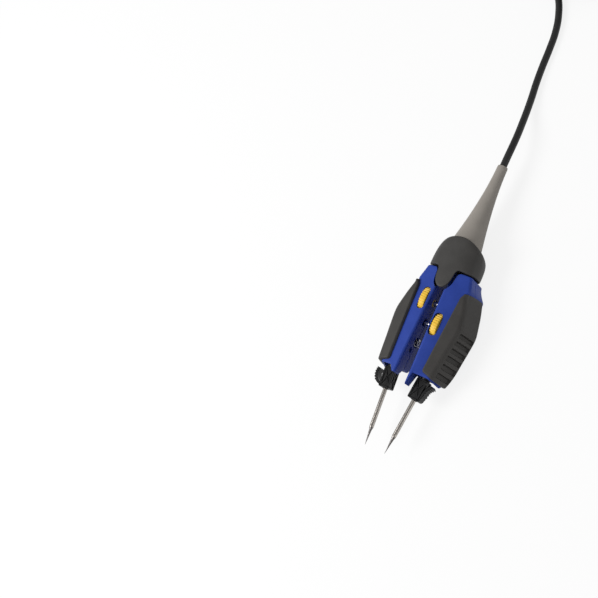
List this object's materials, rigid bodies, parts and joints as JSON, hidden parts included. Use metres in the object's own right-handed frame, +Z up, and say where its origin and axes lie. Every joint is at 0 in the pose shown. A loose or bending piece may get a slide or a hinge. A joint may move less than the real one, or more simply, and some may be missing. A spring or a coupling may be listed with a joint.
{
  "type": "soldering tweezers",
  "caption": "Hot tweezers for desoldering: two sprung, gripped arms on a hinged core close a pair of heated needle tips; thumb dials trim them; a cord ends in a round plug.",
  "frame": {"origin": "centre of the underside of the tool without its cord, on the surface it lies on", "axes": "+Z up through the top face with the dials, +Y from the tips towards the cord, +X towards the right arm"},
  "size_m": [0.0581, 0.3899, 0.0217],
  "materials": {
    "blue_shell": "satin moulded plastic",
    "black_grip": "matte soft-touch rubber",
    "black_moulding": "satin moulded plastic",
    "collar_plastic": "fine-textured moulded plastic",
    "grey_silicone": "matte silicone",
    "steel": "polished drawn steel",
    "tip_plating": "heat-dulled plating",
    "yellow_dial": "satin moulded plastic",
    "contact_brass": "bright brass",
    "insulator": "matte moulded insulator",
    "lead_wire": "satin insulation",
    "cord_jacket": "matte silicone jacket",
    "plug_nickel": "nickel plate"
  },
  "bodies": {
    "handle": {"collar": "collar_plastic", "core_frame": "black_moulding", "strain_relief": "grey_silicone", "hinge_pins": "steel", "collar_screws": "steel", "return_spring": "steel", "cord_run": "cord_jacket", "cord_coil": "cord_jacket", "coil_tie": "black_moulding", "cord_tail": "cord_jacket", "plug_boot": "cord_jacket", "plug_body": "black_moulding", "plug_shell": "plug_nickel", "plug_insert": "black_moulding", "plug_pins": "contact_brass"},
    "left_arm": {"left_upper_shell": "blue_shell", "left_lower_shell": "blue_shell", "left_grip": "black_grip", "left_arm_frame": "black_moulding", "left_tip_socket": "insulator", "left_contacts": "contact_brass", "left_leads": "lead_wire", "left_arm_screws": "steel"},
    "right_arm": {"right_upper_shell": "blue_shell", "right_lower_shell": "blue_shell", "right_grip": "black_grip", "right_arm_frame": "black_moulding", "right_tip_socket": "insulator", "right_contacts": "contact_brass", "right_leads": "lead_wire", "right_arm_screws": "steel"},
    "left_tip": {"left_tip_holder": "black_moulding", "left_tip_rod": "steel", "left_tip_needle": "tip_plating"},
    "right_tip": {"right_tip_holder": "black_moulding", "right_tip_rod": "steel", "right_tip_needle": "tip_plating"},
    "left_dial": {"left_dial": "yellow_dial", "eccentric_pin": "steel"},
    "right_dial": {"right_dial": "yellow_dial"},
    "stop_screw": {"stop_screw": "steel"}
  },
  "joints": [
    {"name": "left_arm_hinge", "type": "hinge", "parent": "handle", "child": "left_arm", "pos_m": [-0.006, 0.022, 0.0115], "axis": [0, 0, 1], "range_deg": [0, 3.3], "stiffness_Nm_per_rad": 0.6, "springref_deg": -1.72, "deforming": ["return_spring"]},
    {"name": "right_arm_hinge", "type": "hinge", "parent": "handle", "child": "right_arm", "pos_m": [0.006, 0.022, 0.0115], "axis": [0, 0, -1], "range_deg": [0, 3.3], "stiffness_Nm_per_rad": 0.6, "springref_deg": -1.72, "deforming": ["return_spring"]},
    {"name": "left_dial_turn", "type": "hinge", "parent": "left_arm", "child": "left_dial", "pos_m": [-0.00645, -0.0005, 0.0131], "axis": [1, 0, 0], "range_deg": [-90, 90]},
    {"name": "right_dial_turn", "type": "hinge", "parent": "right_arm", "child": "right_dial", "pos_m": [0.00645, -0.012, 0.0131], "axis": [1, 0, 0], "range_deg": [0, 540]},
    {"name": "stop_screw_slide", "type": "slide", "parent": "right_arm", "child": "stop_screw", "axis": [-1, 0, 0], "range_m": [0, 0.00075]},
    {"name": "left_tip_pull", "type": "slide", "parent": "left_arm", "child": "left_tip", "axis": [-0.0886, 0.9961, 0], "range_m": [-0.024, 0]},
    {"name": "right_tip_pull", "type": "slide", "parent": "right_arm", "child": "right_tip", "axis": [0.0886, 0.9961, 0], "range_m": [-0.024, 0]}
  ],
  "couplings": [
    {"joint": "stop_screw_slide", "follows": "right_dial_turn", "m_per_rad": 0.000079577}
  ]
}
